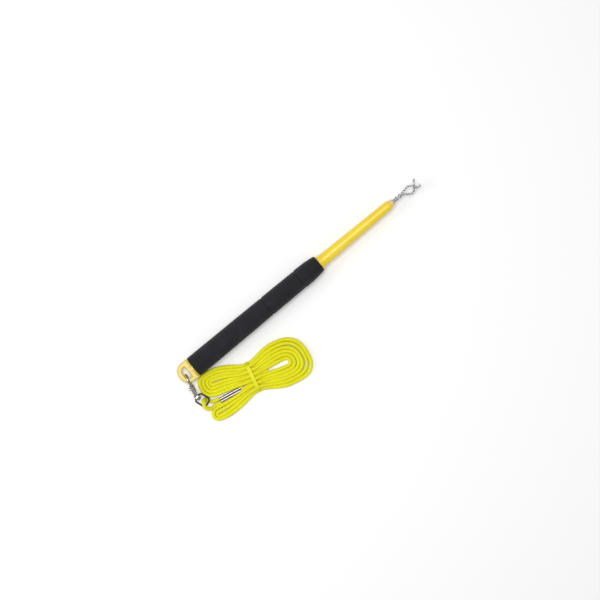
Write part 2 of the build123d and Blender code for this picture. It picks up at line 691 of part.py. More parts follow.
# ---- origin and files ----
CORD_NODES = ("cord_eye", "cord_ferrule", "cord_crimped", "cord_standing", "cord_hank", "hank_tie")
boxes = [piece.bounding_box() for piece in pieces if piece.label not in CORD_NODES]
low_x, high_x = min(box.min.X for box in boxes), max(box.max.X for box in boxes)
low_y, high_y = min(box.min.Y for box in boxes), max(box.max.Y for box in boxes)
origin = Vector((low_x + high_x) / 2, (low_y + high_y) / 2, 0)
print("origin in the working frame", origin)
print("lowest point", min(box.min.Z for box in boxes))
print("corner centre", corner_centre)
print("ring centre", ring_centre, "shank", shank)
os.makedirs("parts", exist_ok=True)
for piece in pieces:
    placed = piece.moved(Location(-origin))
    placed.label = piece.label
    export_step(placed, f"parts/{piece.label}.step")
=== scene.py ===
# %% [markdown]
# # A floating tow handle
# A tapered yellow tube carries a black foam grip in three sleeves. A wire eye stands at its tip, and a
# snap hook at its butt holds a yellow cord that is folded into a hank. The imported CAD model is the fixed
# frame, and every cell below adds one piece or one finish to it. Lengths are metres, as everywhere in
# Blender.

# %% Load the frame
import math

import bpy
import numpy as np
from mathutils import Matrix, Vector


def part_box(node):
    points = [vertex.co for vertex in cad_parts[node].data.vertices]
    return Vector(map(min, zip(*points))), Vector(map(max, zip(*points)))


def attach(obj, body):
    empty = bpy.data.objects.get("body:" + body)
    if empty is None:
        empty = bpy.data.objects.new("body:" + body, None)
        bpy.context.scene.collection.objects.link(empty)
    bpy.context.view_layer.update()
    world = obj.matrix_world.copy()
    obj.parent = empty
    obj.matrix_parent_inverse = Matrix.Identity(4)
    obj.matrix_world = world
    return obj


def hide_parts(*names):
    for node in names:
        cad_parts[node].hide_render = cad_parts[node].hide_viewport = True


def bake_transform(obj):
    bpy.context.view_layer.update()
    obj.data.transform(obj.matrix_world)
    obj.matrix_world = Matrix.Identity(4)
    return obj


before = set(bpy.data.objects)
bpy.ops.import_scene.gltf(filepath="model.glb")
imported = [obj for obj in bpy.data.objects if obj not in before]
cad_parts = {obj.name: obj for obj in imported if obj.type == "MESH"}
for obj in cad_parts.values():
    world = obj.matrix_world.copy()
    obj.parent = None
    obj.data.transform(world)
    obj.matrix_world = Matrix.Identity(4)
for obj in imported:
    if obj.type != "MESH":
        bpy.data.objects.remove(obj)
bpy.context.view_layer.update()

# %% [markdown]
# ## Where things are
# The design is drawn in its own millimetres, with X = 0 at the middle of the grip and the handle's axis
# at Y = 0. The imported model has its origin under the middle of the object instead. The tube's box gives
# the step between the two, so a point from the drawing is divided by 1000 and moved by that step.

# %% The design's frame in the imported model
MM = 0.001
TUBE_REAR_MM = -119.0

tube_low, tube_high = (np.array(corner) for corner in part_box("core_tube"))
DRAWING_ORIGIN = np.array([tube_low[0] - TUBE_REAR_MM * MM, (tube_low[1] + tube_high[1]) / 2, 0.0])
AXIS_Z_MM = (tube_low[2] + tube_high[2]) / 2 / MM


def placed(points_mm):
    """Points in the drawing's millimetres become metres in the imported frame: scaled, then moved by the
    step."""
    return np.asarray(points_mm, dtype=float) * MM + DRAWING_ORIGIN


print("drawing origin", DRAWING_ORIGIN.round(4), "axis height mm", round(AXIS_Z_MM, 2))

# %% [markdown]
# ## Camera
# The handle is seen from straight above, turned so that its tip points up and to the right. A camera's
# own X axis is the picture's right and its Z axis points back at the viewer, so the three columns of its
# matrix say it all.

# %% Camera above the handle
CAMERA_HEIGHT = 2.0
VIEW_WIDTH = 0.900          # metres across the picture, at the height of the handle's axis
HANDLE_TILT = 39.69         # degrees between the handle and the picture's right
LOOK_AT_MM = (68.1, -24.3)

camera_data = bpy.data.cameras.new("camera")
camera = bpy.data.objects.new("camera", camera_data)
bpy.context.scene.collection.objects.link(camera)
bpy.context.scene.camera = camera
camera_data.lens = camera_data.sensor_width * (CAMERA_HEIGHT - AXIS_Z_MM * MM) / VIEW_WIDTH
camera_data.clip_end = 10.0

tilt = math.radians(HANDLE_TILT)
right = Vector((math.cos(tilt), -math.sin(tilt), 0.0))
up = Vector((math.sin(tilt), math.cos(tilt), 0.0))
look_at = placed((*LOOK_AT_MM, 0.0))
turn = Matrix((right, up, Vector((0.0, 0.0, 1.0)))).transposed().to_4x4()
camera.matrix_world = Matrix.Translation((look_at[0], look_at[1], CAMERA_HEIGHT)) @ turn
print("lens", round(camera_data.lens, 1), "mm")

# %% [markdown]
# ## Surfaces from grids
# Almost every piece here is a grid: one parameter runs along the piece and the other runs round it. A
# grid of points needs no modelling by hand. Its faces join neighbours, and a pattern can follow its two
# parameters as a UV map. The cell below turns any such grid into a mesh, and closes its ends with fans.


# %% Grid to mesh
def grid_mesh(name, points, uv=None, ring_closed=True, length_closed=False, caps=True):
    """A grid of points (along, round, xyz) in metres becomes a mesh of quads between neighbours. The last
    column joins the first when the rings are closed, and each end is a fan about the mean of its ring."""
    along, around = points.shape[:2]
    rows = np.arange(along if length_closed else along - 1)
    columns = np.arange(around if ring_closed else around - 1)
    row, column = (index.ravel() for index in np.meshgrid(rows, columns, indexing="ij"))
    next_row = (row + 1) % along
    next_column = (column + 1) % around
    quads = np.stack([row * around + column, row * around + next_column,
                      next_row * around + next_column, next_row * around + column], axis=1)
    verts = points.reshape(-1, 3)
    ends = np.zeros((0, 3), dtype=int)
    if caps and ring_closed and not length_closed:
        verts = np.vstack([verts, points[0].mean(axis=0), points[-1].mean(axis=0)])
        ring = np.arange(around)
        following = (ring + 1) % around
        last = (along - 1) * around
        first_fan = np.stack([following, ring, np.full(around, along * around)], axis=1)
        last_fan = np.stack([last + ring, last + following, np.full(around, along * around + 1)], axis=1)
        ends = np.vstack([first_fan, last_fan])
    loops = np.concatenate([quads.ravel(), ends.ravel()])
    sizes = np.concatenate([np.full(len(quads), 4), np.full(len(ends), 3)])
    mesh = bpy.data.meshes.new(name)
    mesh.vertices.add(len(verts))
    mesh.vertices.foreach_set("co", verts.ravel())
    mesh.loops.add(len(loops))
    mesh.loops.foreach_set("vertex_index", loops)
    mesh.polygons.add(len(sizes))
    mesh.polygons.foreach_set("loop_start", np.concatenate([[0], np.cumsum(sizes)[:-1]]))
    mesh.polygons.foreach_set("use_smooth", np.ones(len(sizes), dtype=bool))
    mesh.update(calc_edges=True)
    if uv is not None:
        u_along, v_round = uv
        uv_row = np.minimum(row + 1, along - 1)
        quad_u = u_along[np.stack([row, row, uv_row, uv_row], axis=1)]
        quad_v = v_round[np.stack([column, column + 1, column + 1, column], axis=1)]
        corner_u = np.concatenate([quad_u.ravel(), np.zeros(ends.size)])
        corner_v = np.concatenate([quad_v.ravel(), np.zeros(ends.size)])
        layer = mesh.uv_layers.new(name="UVMap")
        layer.data.foreach_set("uv", np.stack([corner_u, corner_v], axis=1).ravel())
    mesh.validate()
    return mesh


def piece_from(mesh, body, material, slot, *replaced):
    """An object for a finished mesh: it rides on its body and stands for its CAD nodes; the slot is not used."""
    obj = bpy.data.objects.new(mesh.name, mesh)
    bpy.context.scene.collection.objects.link(obj)
    mesh.materials.append(material)
    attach(obj, body)
    if replaced:
        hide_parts(*replaced)
    return obj


# %% [markdown]
# ## Tubes along a path
# A cord, a wire and a link are all a round section carried along a line. The section must not spin as the
# line bends, so each ring's frame is the last one, turned by as little as the line turns. The line itself
# is read from a NURBS spline, because its bends grow and fade as a real cord's do.


# %% Lines and the frames along them
def nurbs_line(points_m, name, resolution=12):
    """The points of a smooth NURBS line of order three whose control points are the given ones."""
    curve = bpy.data.curves.new(name, "CURVE")
    curve.dimensions = "3D"
    curve.resolution_u = resolution
    spline = curve.splines.new("NURBS")
    spline.points.add(len(points_m) - 1)
    weighted = np.ones((len(points_m), 4))
    weighted[:, :3] = points_m
    spline.points.foreach_set("co", weighted.ravel())
    spline.order_u = 3
    spline.use_endpoint_u = True
    holder = bpy.data.objects.new(name, curve)
    mesh = bpy.data.meshes.new_from_object(holder)
    line = np.empty(len(mesh.vertices) * 3)
    mesh.vertices.foreach_get("co", line)
    bpy.data.meshes.remove(mesh)
    bpy.data.objects.remove(holder)
    bpy.data.curves.remove(curve)
    return line.reshape(-1, 3)


def evenly(line, spacing):
    """The same line with its points a fixed distance apart: each coordinate is interpolated over the length
    walked so far. Returns the points and the length walked to each."""
    steps = np.linalg.norm(np.diff(line, axis=0), axis=1)
    keep = np.concatenate([[True], steps > 1e-9])
    line = line[keep]
    walked = np.concatenate([[0.0], np.cumsum(np.linalg.norm(np.diff(line, axis=0), axis=1))])
    count = max(int(walked[-1] / spacing), 8)
    at = np.linspace(0.0, walked[-1], count + 1)
    return np.stack([np.interp(at, walked, line[:, axis]) for axis in range(3)], axis=1), at


def carried_frames(line):
    """Two unit vectors across the line at each point. Each pair is the last pair made square to the new
    tangent, so that the section never spins."""
    tangents = np.gradient(line, axis=0)
    tangents /= np.linalg.norm(tangents, axis=1, keepdims=True)
    start = np.cross(tangents[0], (0.0, 0.0, 1.0))
    side = start / np.linalg.norm(start)
    sides = np.empty_like(line)
    for index, tangent in enumerate(tangents):
        side = side - tangent * np.dot(side, tangent)
        side = side / np.linalg.norm(side)
        sides[index] = side
    return tangents, sides, np.cross(tangents, sides)


def tube_grid(line, radius, around):
    """Rings about a line: centre plus radius times (cosine of the angle along one frame vector plus sine
    along the other). The radius may be a number, one value per ring, or a table of rings by angles."""
    tangents, sides, lifts = carried_frames(line)
    angle = np.arange(around) * 2 * math.pi / around
    spread = np.broadcast_to(np.asarray(radius, dtype=float).reshape(-1, 1) if np.ndim(radius) == 1 else radius,
                             (len(line), around))
    offset = (np.cos(angle)[None, :, None] * sides[:, None, :] + np.sin(angle)[None, :, None] * lifts[:, None, :])
    return line[:, None, :] + spread[:, :, None] * offset


# %% [markdown]
# ## The cord's route
# The cord is one length of hollow-braid rope. Its dead end lies in the ferrule, it goes round the link
# and back through the ferrule, and then it is wound back and forth into a hank. The stretch at the link
# is a list of given points. The hank's turns come from a loop: each turn passes the waist at its
# own place, swings round the far lobe, comes back through the waist and swings round one of the two near
# lobes.

# %% The eye round the link
EYE_ROUTE = [
    (-0.12120, -0.06078, 0.0044),
    (-0.12750, -0.05956, 0.0042),
    (-0.13360, -0.05720, 0.0032),
    (-0.13760, -0.04780, 0.0033),
    (-0.14160, -0.04860, 0.0156),
    (-0.14560, -0.05900, 0.0134),
    (-0.13950, -0.06560, 0.0086),
    (-0.13010, -0.06525, 0.0048),
    (-0.12235, -0.06676, 0.0044),
]
FERRULE_END = np.array([-0.1216, -0.0638, 0.0044])
FERRULE_LENGTH = 0.036
FERRULE_HEADING = math.radians(-11.0)
FERRULE_R = 0.0043
LEG_APART = 0.0013          # each squeezed leg's centre from the ferrule's axis
TAIL = 0.003                # the cut end of the dead leg, just clear of the ferrule
LEG_STOPS = (0.003, 0.014, 0.026)   # where a leg's line is held, from the ferrule's end

ferrule_dir = np.array([math.cos(FERRULE_HEADING), math.sin(FERRULE_HEADING), 0.0])
ferrule_side = np.array([-ferrule_dir[1], ferrule_dir[0], 0.0])


def leg_point(distance, side):
    """A point of a squeezed leg, at a distance from the ferrule's end towards the hank."""
    return FERRULE_END + ferrule_dir * distance + ferrule_side * side * LEG_APART


dead_leg = [leg_point(distance, 1) for distance in (FERRULE_LENGTH + TAIL, *reversed(LEG_STOPS))]
standing_leg = [leg_point(distance, -1) for distance in (*LEG_STOPS, FERRULE_LENGTH)]
eye_points = dead_leg + [np.array(point) for point in EYE_ROUTE] + standing_leg
print("points before the hank", len(eye_points))

# %% [markdown]
# The hank is laid out about its waist. The first coordinate runs along the hank, towards the far lobe,
# and the second runs across it, towards the handle. Thirteen strands cross the waist in two layers. The
# far lobe joins them in nested pairs, and so do the two near lobes, and one walk through all the pairs is
# the whole cord.

# %% The hank's turns
WAIST = np.array([-0.0610, -0.0683])
HANK_HEADING = math.radians(-14.4)
CORD_R = 0.00285
WAIST_STEP = 0.0035         # between neighbours where the tie squeezes them
WAIST_HALF = 0.008          # half of the straight stretch under the tie
HELD_HALF = 0.0048          # and of the part that the tie holds
WAIST_LOW, WAIST_HIGH = 0.0040, 0.0085      # height of the two layers under the tie
LOBE_LOW, LOBE_HIGH = 0.0029, 0.0044        # and where they have spread out in the lobes
STRANDS = 13

# centre, reach of the outermost turn, its half widths above and below, how much each next turn loses, how
# square its end is, and how far the end leans
LOBES = {
    "far": dict(centre=(0.0520, -0.0010), reach=0.0378, above=0.0347, below=0.0330,
                step=(0.0057, 0.0057, 0.0053), square=2.6, lean=0.10),
    "near": dict(centre=(-0.0520, 0.0185), reach=0.0262, above=0.0168, below=0.0196,
                 step=(0.0055, 0.00455, 0.00525), square=2.5, lean=0.0),
    "outer": dict(centre=(-0.0630, -0.0288), reach=0.0156, above=0.0100, below=0.0080,
                  step=(0.0057, 0.0060, 0.0050), square=2.3, lean=0.0),
}
PAIRS = {
    "far": [(1, 13), (2, 12), (3, 11), (4, 10), (5, 9), (6, 8)],
    "near": [(1, 8), (2, 7), (3, 6), (4, 5)],
    "outer": [(10, 13), (11, 12)],
}
ENTRY, LAST = 9, 7          # the strands that the walk comes in by and ends on
CUT_END = [(0.0140, 0.0, 0.0038), (0.0200, -0.0004, 0.0031), (0.0250, -0.0008, 0.0029)]
HAND_LAID = 0.00022         # how unevenly the turns lie
LATE_SPREAD = 0.16          # how much later each inner turn opens out
LONGER_END = 0.45           # how much longer than its half width the outermost turn's rounded end may be
LOBE_POINTS = 9             # round the end of a lobe
SIDE_POINTS = 4             # from the waist to the widest place
rng = np.random.default_rng(11)


def waist_place(strand):
    """Across the waist: the strands lie in order from the top, one step apart, about the middle."""
    return ((STRANDS + 1) / 2 - strand) * WAIST_STEP


def layer(strand, low, high):
    """Odd strands lie in the lower layer and even ones in the upper."""
    return low if strand % 2 else high


def lobe_turn(name, enter, leave):
    """One turn round a lobe, from the waist and back to it. The sides follow a quarter of a sine from the
    strand's place in the waist to the turn's half width, and the end is a squared oval: the cosine and the
    sine of the angle, each to the power of two over the squareness. A narrow inner turn keeps its sides
    straight for longer, so that its end is no sharper than a cord can bend. Returns points (along, across,
    height)."""
    spec = LOBES[name]
    rank = [set(pair) for pair in PAIRS[name]].index({enter, leave})
    away = 1.0 if name == "far" else -1.0
    jitter = rng.normal(0.0, HAND_LAID, 3)
    reach = spec["reach"] - spec["step"][0] * rank + jitter[0]
    half = {1.0: spec["above"] - spec["step"][1] * rank + jitter[1],
            -1.0: spec["below"] - spec["step"][2] * rank + jitter[2]}
    centre_s, centre_p = spec["centre"]
    outermost = half[1.0] / spec["above"]
    end_reach = min(reach, (1 + LONGER_END * outermost) * (half[1.0] + half[-1.0]) / 2)
    centre_s = centre_s + away * (reach - end_reach)
    going = 1.0 if enter < leave else -1.0
    share = (np.arange(SIDE_POINTS) + 0.5) / SIDE_POINTS

    def side_run(strand, sign):
        along = away * WAIST_HALF + (centre_s - away * WAIST_HALF) * share
        spread = np.sin(share * math.pi / 2) ** (1 + LATE_SPREAD * rank)
        across = waist_place(strand) + (centre_p + sign * half[sign] - waist_place(strand)) * spread
        climb = layer(strand, WAIST_LOW, WAIST_HIGH) * (1 - share) ** 2
        height = climb + layer(rank, LOBE_LOW, LOBE_HIGH) * (1 - (1 - share) ** 2)
        return np.stack([along, across, height], axis=1)

    out = side_run(enter, going)
    back = side_run(leave, -going)[::-1]
    angle = np.linspace(90.0, -90.0, LOBE_POINTS + 2)[1:-1] * math.pi / 180 * going
    squareness = 2.0 + (spec["square"] - 2.0) * outermost
    power = 2.0 / squareness
    reach_part = np.abs(np.cos(angle)) ** power
    cross_part = np.sign(np.sin(angle)) * np.abs(np.sin(angle)) ** power
    width = np.where(np.sin(angle) >= 0, half[1.0], half[-1.0])
    end_p = centre_p + width * cross_part
    end = np.stack([centre_s + away * end_reach * reach_part - spec["lean"] * end_p, end_p,
                    np.full(len(angle), layer(rank, LOBE_LOW, LOBE_HIGH))], axis=1)
    return np.vstack([out, end, back])


def waist_run(strand, from_far):
    """The straight stretch under the tie, as two points in the strand's own layer."""
    ends = (HELD_HALF, -HELD_HALF) if from_far else (-HELD_HALF, HELD_HALF)
    height = layer(strand, WAIST_LOW, WAIST_HIGH)
    return np.array([(along, waist_place(strand), height) for along in ends])


def partner(name, strand):
    """The strand that a lobe joins to this one, and None if it joins none."""
    for pair in PAIRS[name]:
        if strand in pair:
            return pair[0] + pair[1] - strand
    return None


walk = [waist_run(ENTRY, from_far=False)]
strand = ENTRY
while True:
    returned = partner("far", strand)
    if returned is None:
        break
    walk.append(lobe_turn("far", strand, returned))
    walk.append(waist_run(returned, from_far=True))
    near = "near" if partner("near", returned) else "outer"
    strand = partner(near, returned)
    walk.append(lobe_turn(near, returned, strand))
    walk.append(waist_run(strand, from_far=False))
walk.append(np.array(CUT_END) + (0.0, waist_place(LAST), 0.0))
hank_local = np.vstack(walk)
print("hank control points", len(hank_local), "last strand", strand)

# %% [markdown]
# The walk is then turned to the hank's heading and set down at its waist. The short run between the
# ferrule and the waist takes the cord into the gap between the two near lobes.

# %% One line for the whole cord
RING_SPACING = 0.00064
ROUTE_RESOLUTION = 16       # points in each span of the spline

along_dir = np.array([math.cos(HANK_HEADING), math.sin(HANK_HEADING)])
across_dir = np.array([-along_dir[1], along_dir[0]])
hank_plan = WAIST + hank_local[:, :1] * along_dir + hank_local[:, 1:2] * across_dir
hank_points = np.column_stack([hank_plan, hank_local[:, 2]])
standing = [leg_point(FERRULE_LENGTH + 0.006, -1), leg_point(FERRULE_LENGTH + 0.013, -0.6)]
cord_points = np.vstack([np.array(eye_points), np.array(standing), hank_points]) + DRAWING_ORIGIN

cord_line, cord_at = evenly(nurbs_line(cord_points, "cord_route", ROUTE_RESOLUTION), RING_SPACING)

# %% [markdown]
# ## The cord's surface
# Hollow braid shows rows of small lozenges, where one set of yarns dives under the other. A product of
# two cosines has the same layout: its high spots stand in staggered rows. The section also shrinks where
# the ferrule squeezes it. This relief is in the mesh, and the finer yarns are in the material.

# %% Cord mesh
CORD_AROUND = 24
LOZENGES = 6
LOZENGE_LENGTH = 0.0046
RELIEF = 0.00017
SQUEEZED_R = 0.00215
GIVE = 0.0006               # how softly the cord swells again outside the ferrule
PAST_END = 0.0012
BESIDE = 0.004


def squeezed(at_point):
    """One where the line is inside the ferrule, fading to nothing over a few millimetres outside it."""
    relative = at_point - (FERRULE_END + DRAWING_ORIGIN)
    inside = relative @ ferrule_dir
    beside = np.abs(relative @ ferrule_side)
    after_start = 1 / (1 + np.exp(-(inside + PAST_END) / GIVE))
    before_end = 1 / (1 + np.exp((inside - FERRULE_LENGTH - PAST_END) / GIVE))
    return after_start * before_end * (beside < BESIDE)


cord_radius = CORD_R - (CORD_R - SQUEEZED_R) * squeezed(cord_line)
angles = np.arange(CORD_AROUND) * 2 * math.pi / CORD_AROUND
braid = np.cos(LOZENGES * angles)[None, :] * np.cos(2 * math.pi * cord_at / LOZENGE_LENGTH)[:, None]
cord_surface = tube_grid(cord_line, cord_radius[:, None] + RELIEF * braid, CORD_AROUND)
cord_uv = (cord_at / LOZENGE_LENGTH, np.arange(CORD_AROUND + 1) / CORD_AROUND)
cord_mesh = grid_mesh("cord", cord_surface, uv=cord_uv)
print("cord faces", len(cord_mesh.polygons))

# %% [markdown]
# ## Shared effects
# Mottling and scratches turn up in more than one finish, so each is a shader node group. A group puts out
# masks and values only. The Principled shader stays in the material, where its own sockets are set
# directly.


# %% Node helpers
def new_group(name, inputs, outputs):
    """An empty shader node group with named float, colour or vector sockets."""
    group = bpy.data.node_groups.new(name, "ShaderNodeTree")
    kinds = {"float": "NodeSocketFloat", "color": "NodeSocketColor", "vector": "NodeSocketVector"}
    for label, kind, default in inputs:
        socket = group.interface.new_socket(name=label, in_out="INPUT", socket_type=kinds[kind])
        if default is not None:
            socket.default_value = default
    for label, kind in outputs:
        group.interface.new_socket(name=label, in_out="OUTPUT", socket_type=kinds[kind])
    return group, group.nodes.new("NodeGroupInput"), group.nodes.new("NodeGroupOutput")


def node(tree, kind, values=None, **settings):
    """A node with its properties and input values set."""
    made = tree.nodes.new(kind)
    for key, value in settings.items():
        setattr(made, key, value)
    for key, value in (values or {}).items():
        made.inputs[key].default_value = value
    return made


def ramp(tree, source, stops):
    """A colour ramp over a value; stops are (position, colour)."""
    made = tree.nodes.new("ShaderNodeValToRGB")
    elements = made.color_ramp.elements
    elements[0].position, elements[0].color = stops[0]
    elements[1].position, elements[1].color = stops[-1]
    for position, colour in stops[1:-1]:
        elements.new(position).color = colour
    tree.links.new(source, made.inputs["Fac"])
    return made


def math_node(tree, operation, first, second=None, third=None):
    """A Math node whose inputs are sockets or numbers."""
    made = tree.nodes.new("ShaderNodeMath")
    made.operation = operation
    for index, value in enumerate((first, second, third)):
        if value is None:
            continue
        if isinstance(value, (int, float)):
            made.inputs[index].default_value = value
        else:
            tree.links.new(value, made.inputs[index])
    return made.outputs[0]


def grey(value):
    """An opaque grey, for a colour socket."""
    return (value, value, value, 1.0)


# %% Mottle group
mottle, mottle_in, mottle_out = new_group(
    "mottle",
    [("Vector", "vector", None), ("Patch size", "float", 0.02), ("Grain size", "float", 0.0008)],
    [("Patches", "float"), ("Grain", "float")],
)
for label, source, detail in (("Patches", "Patch size", 3.0), ("Grain", "Grain size", 5.0)):
    noise = node(mottle, "ShaderNodeTexNoise", {"Detail": detail, "Roughness": 0.6})
    scale = math_node(mottle, "DIVIDE", 1.0, mottle_in.outputs[source])
    mottle.links.new(mottle_in.outputs["Vector"], noise.inputs["Vector"])
    mottle.links.new(scale, noise.inputs["Scale"])
    mottle.links.new(noise.outputs["Fac"], mottle_out.inputs[label])
print("groups", [group.name for group in bpy.data.node_groups])


# %% Scratches group
scratches, scratches_in, scratches_out = new_group(
    "handling_scratches",
    [("Vector", "vector", None), ("Spacing", "float", 0.006), ("Amount", "float", 0.3)],
    [("Mask", "float")],
)
stretch = node(scratches, "ShaderNodeMapping", {"Scale": (0.08, 1.0, 1.0), "Rotation": (0.3, 0.2, 0.5)})
scratches.links.new(scratches_in.outputs["Vector"], stretch.inputs["Vector"])
streaks = node(scratches, "ShaderNodeTexNoise", {"Detail": 4.0, "Roughness": 0.7})
scratches.links.new(stretch.outputs["Vector"], streaks.inputs["Vector"])
scratches.links.new(math_node(scratches, "DIVIDE", 1.0, scratches_in.outputs["Spacing"]), streaks.inputs["Scale"])
off_middle = math_node(scratches, "ABSOLUTE", math_node(scratches, "SUBTRACT", streaks.outputs["Fac"], 0.5))
thin = math_node(scratches, "LESS_THAN", off_middle, 0.006)
broken = node(scratches, "ShaderNodeTexNoise", {"Scale": 120.0, "Detail": 2.0})
scratches.links.new(scratches_in.outputs["Vector"], broken.inputs["Vector"])
some = math_node(scratches, "GREATER_THAN", broken.outputs["Fac"], 0.56)
both = math_node(scratches, "MULTIPLY", thin, some)
scratches.links.new(math_node(scratches, "MULTIPLY", both, scratches_in.outputs["Amount"]),
                    scratches_out.inputs["Mask"])


# %% Material helper
def principled(material):
    """The material's own Principled shader."""
    return next(item for item in material.node_tree.nodes if item.type == "BSDF_PRINCIPLED")


def new_material(name):
    """A material with a Principled shader, its tree and a texture coordinate node."""
    material = bpy.data.materials.new(name)
    material.use_nodes = True
    tree = material.node_tree
    return material, tree, principled(material), tree.nodes.new("ShaderNodeTexCoord")


def use_group(tree, group, vector, **values):
    """A node group placed in a material, with its own values."""
    made = tree.nodes.new("ShaderNodeGroup")
    made.node_tree = group
    tree.links.new(vector, made.inputs["Vector"])
    for key, value in values.items():
        made.inputs[key.replace("_", " ")].default_value = value
    return made


def bump(tree, shader, height, distance, strength=1.0):
    """A Bump node between a height and the shader's normal."""
    made = node(tree, "ShaderNodeBump", {"Distance": distance, "Strength": strength})
    tree.links.new(height, made.inputs["Height"])
    tree.links.new(made.outputs["Normal"], shader.inputs["Normal"])
    return made


def span(tree, source, low, high):
    """A value between nought and one spread between two others."""
    made = node(tree, "ShaderNodeMapRange", {"To Min": low, "To Max": high})
    tree.links.new(source, made.inputs["Value"])
    return made.outputs["Result"]


def darkened(tree, shader, colour, shade):
    """One colour multiplied by another, as the shader's base colour."""
    made = node(tree, "ShaderNodeMix", data_type="RGBA", blend_type="MULTIPLY")
    made.inputs["Factor"].default_value = 1.0
    tree.links.new(colour, made.inputs["A"])
    tree.links.new(shade, made.inputs["B"])
    tree.links.new(made.outputs["Result"], shader.inputs["Base Color"])


# %% [markdown]
# ## Braided polypropylene
# The yarns of a floating rope are bright, a little waxy and slightly see-through. Two sets of fine lines
# cross on the UV map, slanted one way and the other, and the lozenge pattern of the mesh says which set
# is on top. The valleys between lozenges carry painted shade: a darker colour, mixed with random patches.

# %% Cord finish
cord_finish, tree, shader, coords = new_material("braided_polypropylene")
parts = node(tree, "ShaderNodeSeparateXYZ")
tree.links.new(coords.outputs["UV"], parts.inputs["Vector"])
turn_u = math_node(tree, "MULTIPLY", parts.outputs["X"], 2 * math.pi)
turn_v = math_node(tree, "MULTIPLY", parts.outputs["Y"], 2 * math.pi * LOZENGES)
high_spots = math_node(tree, "MULTIPLY", math_node(tree, "COSINE", turn_u), math_node(tree, "COSINE", turn_v))
lay_one = math_node(tree, "SINE", math_node(tree, "MULTIPLY", math_node(tree, "ADD", turn_u, turn_v), 3.0))
lay_two = math_node(tree, "SINE", math_node(tree, "MULTIPLY", math_node(tree, "SUBTRACT", turn_u, turn_v), 3.0))
on_top = math_node(tree, "GREATER_THAN", high_spots, 0.0)
yarns = math_node(tree, "ADD", math_node(tree, "MULTIPLY", lay_one, on_top),
                  math_node(tree, "MULTIPLY", lay_two, math_node(tree, "SUBTRACT", 1.0, on_top)))
raised = math_node(tree, "ABSOLUTE", high_spots)
relief = math_node(tree, "ADD", raised, math_node(tree, "MULTIPLY", yarns, 0.22))
bump(tree, shader, relief, 0.00022, 0.9)
cord_mottle = use_group(tree, mottle, coords.outputs["Object"], Patch_size=0.03, Grain_size=0.0006)
# Painted shade: the colour is darker in the valleys between lozenges, mixed with random tone patches from the
# mottle.
shade = math_node(tree, "ADD", math_node(tree, "MULTIPLY", raised, 0.55),
                  math_node(tree, "MULTIPLY", cord_mottle.outputs["Patches"], 0.45))
tint = ramp(tree, shade, [(0.0, (0.46, 0.44, 0.002, 1)), (0.35, (0.72, 0.69, 0.003, 1)),
                          (0.75, (0.84, 0.81, 0.005, 1))])
tree.links.new(tint.outputs["Color"], shader.inputs["Base Color"])
tree.links.new(span(tree, cord_mottle.outputs["Grain"], 0.36, 0.56), shader.inputs["Roughness"])
shader.inputs["Specular IOR Level"].default_value = 0.3
shader.inputs["Subsurface Weight"].default_value = 0.08
shader.inputs["Subsurface Radius"].default_value = (0.004, 0.0035, 0.0006)
shader.inputs["Subsurface Scale"].default_value = 0.4
print("finish", cord_finish.name)

# %% [markdown]
# ## Moulded yellow plastic
# The tube and the cap are moulded in the same yellow. The surface has a fine sheen, a faint flow mottle
# and light handling scratches that are duller than the skin round them.


# %% Yellow plastic finishes
def yellow_plastic(name, dark, light):
    """Glossy moulded plastic between two near colours, with flow patches and scratches."""
    material, tree, shader, coords = new_material(name)
    flow = use_group(tree, mottle, coords.outputs["Object"], Patch_size=0.035, Grain_size=0.0012)
    marks = use_group(tree, scratches, coords.outputs["Object"], Spacing=0.004, Amount=0.22)
    tint = ramp(tree, flow.outputs["Patches"], [(0.3, dark), (0.7, light)])
    tree.links.new(tint.outputs["Color"], shader.inputs["Base Color"])
    rough = math_node(tree, "ADD", span(tree, flow.outputs["Grain"], 0.26, 0.40), marks.outputs["Mask"])
    tree.links.new(rough, shader.inputs["Roughness"])
    height = math_node(tree, "SUBTRACT", math_node(tree, "MULTIPLY", flow.outputs["Grain"], 0.25),
                       math_node(tree, "MULTIPLY", marks.outputs["Mask"], 0.5))
    bump(tree, shader, height, 0.00005)
    shader.inputs["Subsurface Weight"].default_value = 0.08
    shader.inputs["Subsurface Radius"].default_value = (0.004, 0.003, 0.0005)
    shader.inputs["Subsurface Scale"].default_value = 0.4
    shader.inputs["Coat Weight"].default_value = 0.15
    return material


tube_finish = yellow_plastic("yellow_moulded_tube", (0.78, 0.56, 0.020, 1), (0.84, 0.63, 0.030, 1))
cap_finish = yellow_plastic("yellow_moulded_cap", (0.60, 0.45, 0.030, 1), (0.68, 0.52, 0.045, 1))

# %% [markdown]
# ## Foam grip
# Closed-cell foam is nearly black and matte. Its skin is full of tiny pores, its colour drifts a little
# where hands have polished it, and it is darkest inside the pores.

# %% Foam finish
foam_finish, tree, shader, coords = new_material("closed_cell_foam")
foam_mottle = use_group(tree, mottle, coords.outputs["Object"], Patch_size=0.03, Grain_size=0.0011)
pores = node(tree, "ShaderNodeTexVoronoi", {"Scale": 1400.0})
tree.links.new(coords.outputs["Object"], pores.inputs["Vector"])
pore_depth = math_node(tree, "SMOOTH_MIN", pores.outputs["Distance"], 0.45, 0.2)
surface = math_node(tree, "ADD", pore_depth, math_node(tree, "MULTIPLY", foam_mottle.outputs["Grain"], 0.8))
bump(tree, shader, surface, 0.00045, 1.0)
polish = ramp(tree, foam_mottle.outputs["Patches"], [(0.30, (0.007, 0.0065, 0.009, 1)),
                                                     (0.55, (0.012, 0.011, 0.016, 1)),
                                                     (0.72, (0.021, 0.019, 0.027, 1))])
tree.links.new(polish.outputs["Color"], shader.inputs["Base Color"])
tree.links.new(span(tree, foam_mottle.outputs["Patches"], 0.62, 0.86), shader.inputs["Roughness"])
shader.inputs["Specular IOR Level"].default_value = 0.22
shader.inputs["Sheen Weight"].default_value = 0.04
